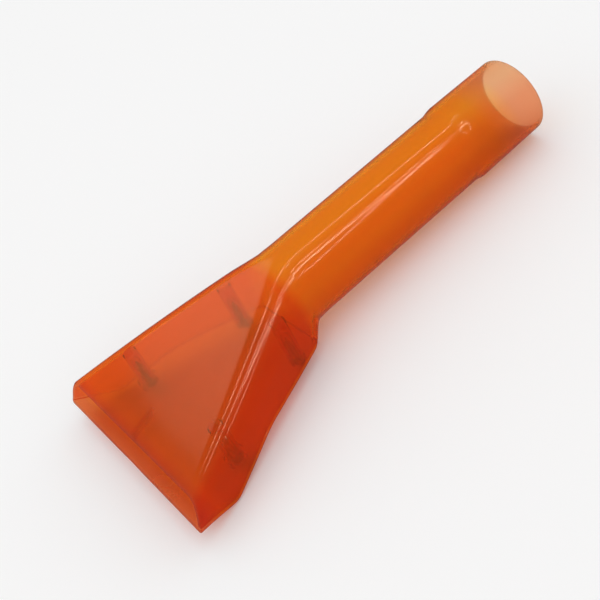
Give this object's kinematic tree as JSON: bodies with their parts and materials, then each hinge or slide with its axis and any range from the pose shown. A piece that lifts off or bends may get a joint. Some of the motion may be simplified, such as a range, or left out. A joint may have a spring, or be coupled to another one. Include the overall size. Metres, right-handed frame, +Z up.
{
  "type": "suction nozzle",
  "caption": "Wide-mouthed hand nozzle for a suction hose: a round tube with a belled socket flares into a flat, slanted mouth, with a screwed back cover.",
  "frame": {"origin": "centre of the bounding box's bottom face, on the surface that the tool lies on", "axes": "+X along the tube towards the hose socket, +Y across the mouth, +Z up, from the back cover to the front wall, with the tool lying on its back"},
  "size_m": [0.243, 0.1146, 0.0416],
  "materials": {
    "translucent_orange": "translucent, glossy, moulded",
    "zinc_steel": "zinc plated"
  },
  "bodies": {
    "root": {"nozzle_body": "translucent_orange", "back_cover": "translucent_orange", "screw_upper_right": "zinc_steel", "screw_upper_left": "zinc_steel", "screw_lower_right": "zinc_steel", "screw_lower_left": "zinc_steel"}
  },
  "joints": []
}
